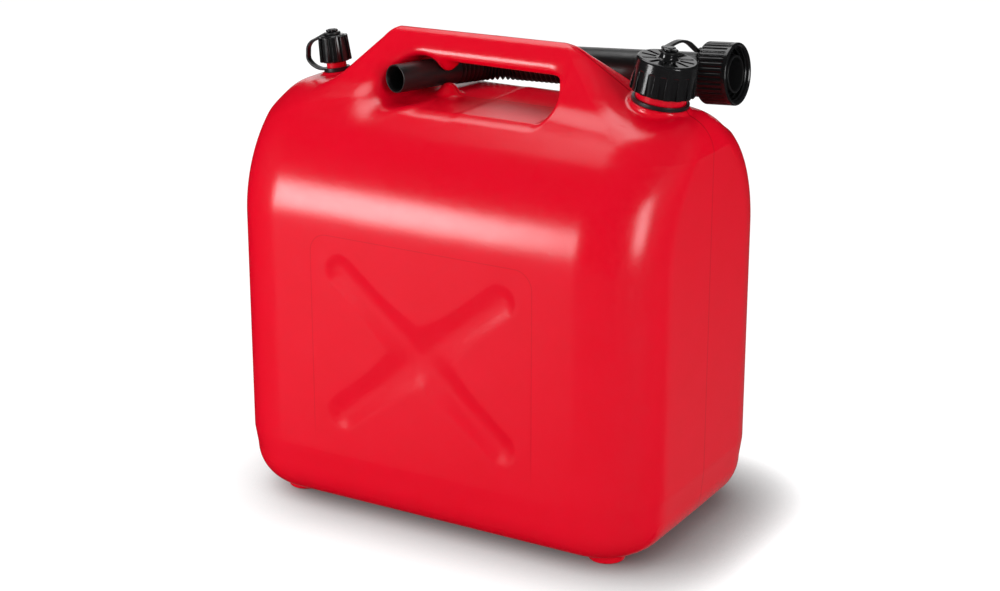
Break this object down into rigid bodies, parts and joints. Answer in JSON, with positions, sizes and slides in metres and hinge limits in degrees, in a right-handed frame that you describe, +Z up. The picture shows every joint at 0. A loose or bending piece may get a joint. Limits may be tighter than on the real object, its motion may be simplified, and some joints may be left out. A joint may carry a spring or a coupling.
{
  "type": "gas can",
  "caption": "Blow-moulded plastic fuel can with a grip slot in its handle, tethered filler and vent screw caps, and a flexible pouring spout stored through the handle.",
  "frame": {"origin": "on the floor, under the middle of the tank", "axes": "+Z up, +X along the handle towards the filler neck, front faces -Y"},
  "size_m": [0.35, 0.219, 0.3625],
  "materials": {
    "can": "satin moulded polyethylene with a fine grain",
    "cap": "semi-gloss black",
    "nut": "satin black",
    "spout": "satin black",
    "tether": "soft satin black",
    "seal": "matt"
  },
  "bodies": {
    "can": {"tank": "can", "filler_strap_ring": "tether", "filler_strap": "tether", "vent_strap_ring": "tether", "vent_strap": "tether"},
    "filler_eye": {"filler_strap_eye": "tether"},
    "filler_shell": {"filler_cap_shell": "cap"},
    "filler_inner": {"filler_cap_inner": "cap", "filler_cap_gasket": "seal"},
    "vent_eye": {"vent_strap_eye": "tether"},
    "vent_closure": {"vent_cap": "cap", "vent_cap_gasket": "seal"},
    "nozzle": {"spout_nozzle": "spout", "spout_bellows": "spout"},
    "rear_tube": {"spout_tube": "spout", "spout_gasket": "seal"},
    "collar": {"spout_collar": "nut"}
  },
  "joints": [
    {"name": "filler_cap_lift", "type": "slide", "parent": "can", "child": "filler_eye", "axis": [0.165, 0, 0.9863], "range_m": [0, 0.016], "deforming": ["filler_strap"]},
    {"name": "filler_cap_turn", "type": "hinge", "parent": "filler_eye", "child": "filler_shell", "pos_m": [0.1325, 0, 0.31824], "axis": [0.165, 0, 0.9863], "range_deg": [0, 1440]},
    {"name": "filler_cap_press", "type": "slide", "parent": "filler_shell", "child": "filler_inner", "axis": [0.165, 0, 0.9863], "range_m": [0, 0.0018], "stiffness_N_per_m": 2000},
    {"name": "vent_cap_lift", "type": "slide", "parent": "can", "child": "vent_eye", "axis": [-0.1392, 0, 0.9903], "range_m": [0, 0.016], "deforming": ["vent_strap"]},
    {"name": "vent_cap_turn", "type": "hinge", "parent": "vent_eye", "child": "vent_closure", "pos_m": [-0.14, 0, 0.31217], "axis": [-0.1392, 0, 0.9903], "range_deg": [0, 1440]},
    {"name": "spout_pull", "type": "slide", "parent": "can", "child": "nozzle", "axis": [0.2785, 0.9599, -0.031], "range_m": [0, 0.1]},
    {"name": "spout_flex", "type": "hinge", "parent": "nozzle", "child": "rear_tube", "pos_m": [-0.03705, 0.0625, 0.32042], "axis": [-0.0697, 0.0523, 0.9962], "range_deg": [0, 74], "deforming": ["spout_bellows"]},
    {"name": "collar_spin", "type": "hinge", "parent": "rear_tube", "child": "collar", "pos_m": [-0.0145, 0.0625, 0.322], "axis": [0.9976, 0, 0.0698], "continuous": true}
  ],
  "couplings": [
    {"joint": "filler_cap_lift", "follows": "filler_cap_turn", "m_per_rad": 0.0006366},
    {"joint": "vent_cap_lift", "follows": "vent_cap_turn", "m_per_rad": 0.0006366}
  ]
}
